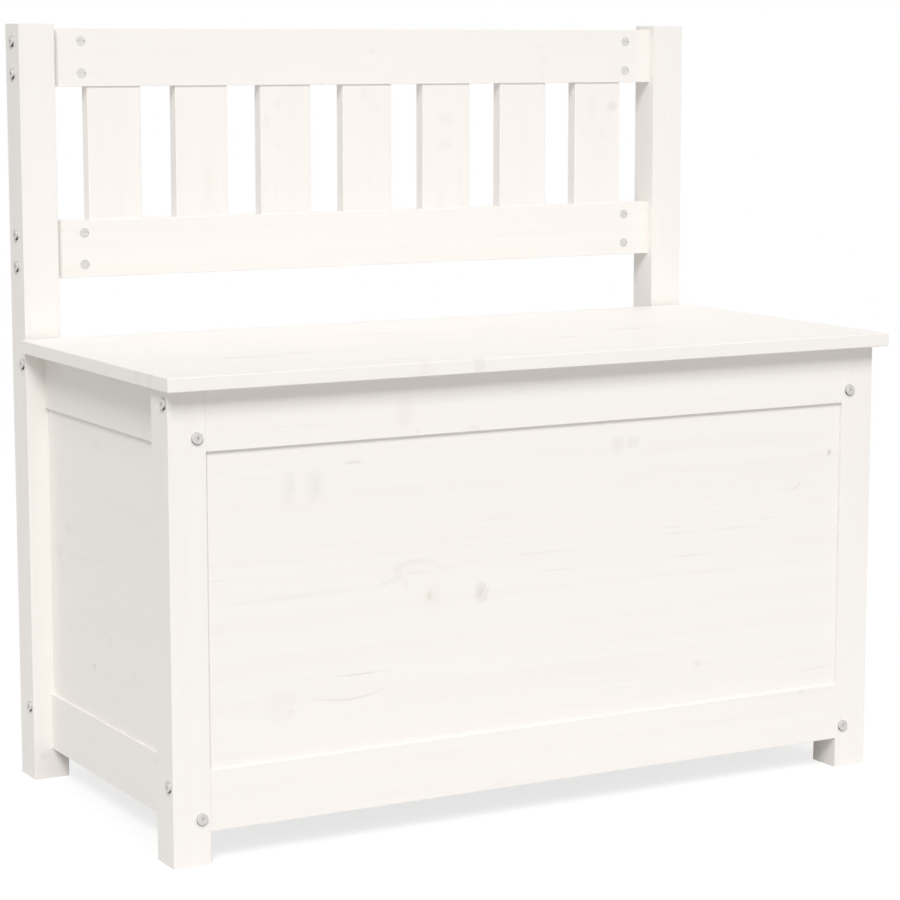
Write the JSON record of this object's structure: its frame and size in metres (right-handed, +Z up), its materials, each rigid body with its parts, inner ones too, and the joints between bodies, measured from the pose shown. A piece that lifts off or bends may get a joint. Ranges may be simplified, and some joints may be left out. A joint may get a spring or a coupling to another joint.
{
  "type": "storage bench",
  "caption": "White-painted pine storage bench: a framed box under a hinged seat lid, with a slatted back between tall rear posts, joined by bolts and barrel nuts.",
  "frame": {"origin": "on the floor, in the middle of the bench's plan", "axes": "+X to the right seen from the front, +Y to the back, +Z up"},
  "size_m": [0.802, 0.416, 0.77],
  "materials": {
    "painted_pine": "white satin paint on pine, grain and knots faintly visible",
    "bare_beech": "plain turned dowel",
    "zinc_hardware": "zinc-plated steel",
    "bright_steel": "zinc-plated steel"
  },
  "bodies": {
    "frame": {"back_bottom_rail": "painted_pine", "back_slat_1": "painted_pine", "back_slat_2": "painted_pine", "back_slat_3": "painted_pine", "back_slat_4": "painted_pine", "back_slat_5": "painted_pine", "back_slat_6": "painted_pine", "back_slat_7": "painted_pine", "back_top_rail": "painted_pine", "barrel_nuts": "zinc_hardware", "floor_batten_screws": "bright_steel", "floor_board": "painted_pine", "frame_bolts": "zinc_hardware", "front_bottom_rail": "painted_pine", "front_floor_batten": "painted_pine", "front_left_post": "painted_pine", "front_panel": "painted_pine", "front_right_post": "painted_pine", "front_top_rail": "painted_pine", "hinge_frame_screws": "bright_steel", "left_bottom_rail": "painted_pine", "left_floor_batten": "painted_pine", "left_hinge_frame_leaf": "bright_steel", "left_hinge_pin": "bright_steel", "left_panel": "painted_pine", "left_top_rail": "painted_pine", "rail_dowels": "bare_beech", "rear_bottom_rail": "painted_pine", "rear_floor_batten": "painted_pine", "rear_left_post": "painted_pine", "rear_panel": "painted_pine", "rear_right_post": "painted_pine", "rear_top_rail": "painted_pine", "right_bottom_rail": "painted_pine", "right_floor_batten": "painted_pine", "right_hinge_frame_leaf": "bright_steel", "right_hinge_pin": "bright_steel", "right_panel": "painted_pine", "right_top_rail": "painted_pine"},
    "lid": {"lid_board": "painted_pine", "left_lid_batten": "painted_pine", "right_lid_batten": "painted_pine", "left_hinge_lid_leaf": "bright_steel", "right_hinge_lid_leaf": "bright_steel", "lid_batten_screws": "bright_steel", "hinge_lid_screws": "bright_steel"}
  },
  "joints": [
    {"name": "lid_hinge", "type": "hinge", "parent": "frame", "child": "lid", "pos_m": [0, 0.16505, 0.4529], "axis": [-1, 0, 0], "range_deg": [0, 90]}
  ]
}
